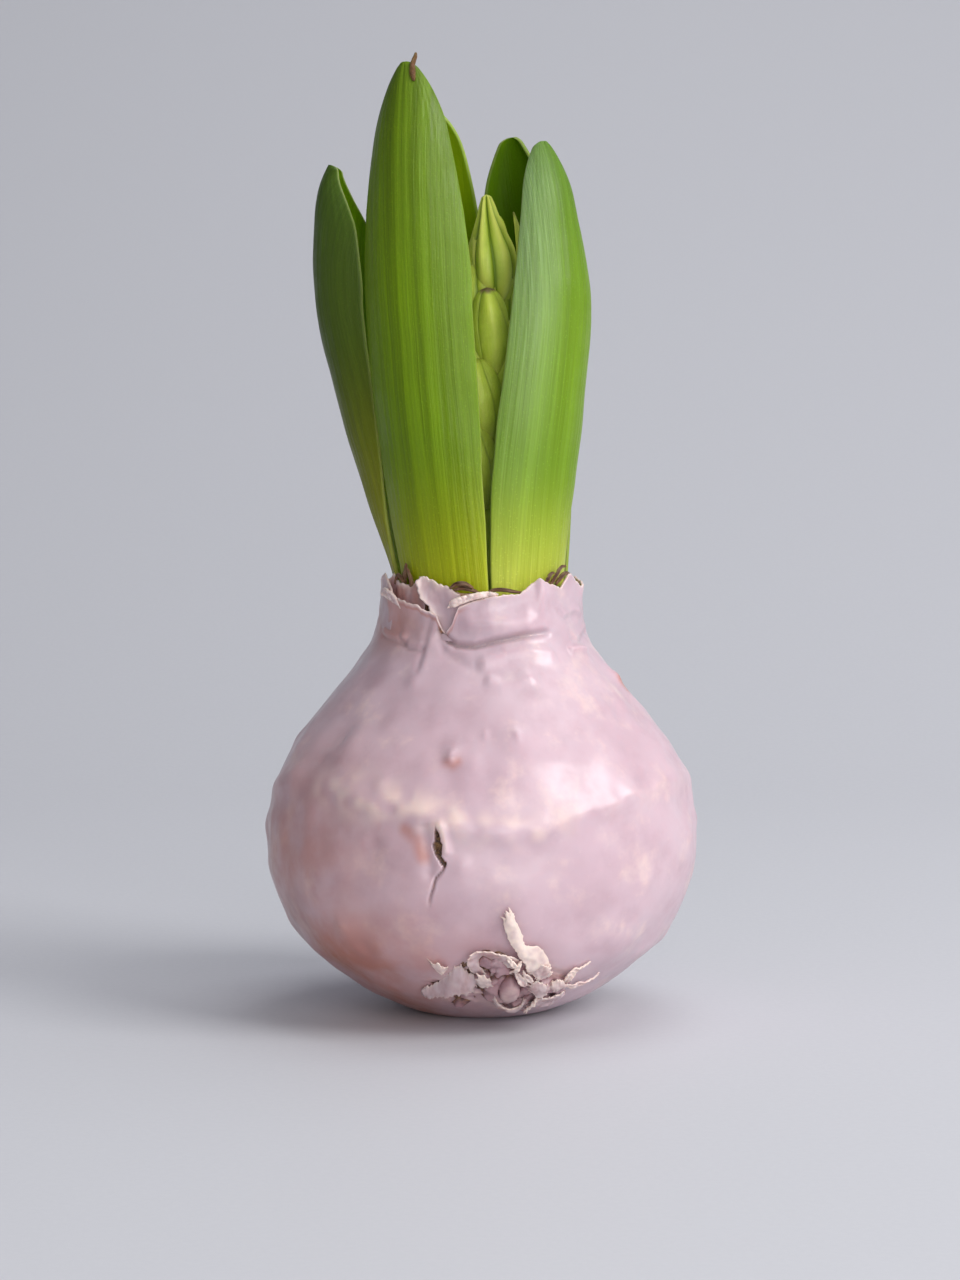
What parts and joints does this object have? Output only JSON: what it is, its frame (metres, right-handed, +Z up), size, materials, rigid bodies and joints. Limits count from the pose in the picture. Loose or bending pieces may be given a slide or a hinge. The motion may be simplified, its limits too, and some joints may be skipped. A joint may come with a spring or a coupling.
{
  "type": "waxed hyacinth bulb",
  "caption": "Hyacinth bulb dipped in wax, standing on a flat spot, with channelled leaves around a closed green flower spike; a table decoration that blooms with no pot.",
  "frame": {"origin": "the middle of the flat spot that the bulb stands on", "axes": "+Z up along the bulb's axis, -Y towards the front with the crack and the root plate, +X to its right"},
  "size_m": [0.0698, 0.0715, 0.1534],
  "materials": {
    "wax": "dipped candle wax, glossy, mauve pink",
    "tunic": "dry brown papery bulb skin",
    "leaf": "fleshy green leaf, satin, finely ribbed",
    "bud": "closed yellow-green flower buds, satin"
  },
  "bodies": {
    "root": {"wax_coat": "wax", "bulb": "tunic", "leaf_front_left": "leaf", "leaf_front_right": "leaf", "leaf_left": "leaf", "leaf_back_left": "leaf", "leaf_back_right": "leaf", "flower_spike": "bud"}
  },
  "joints": []
}
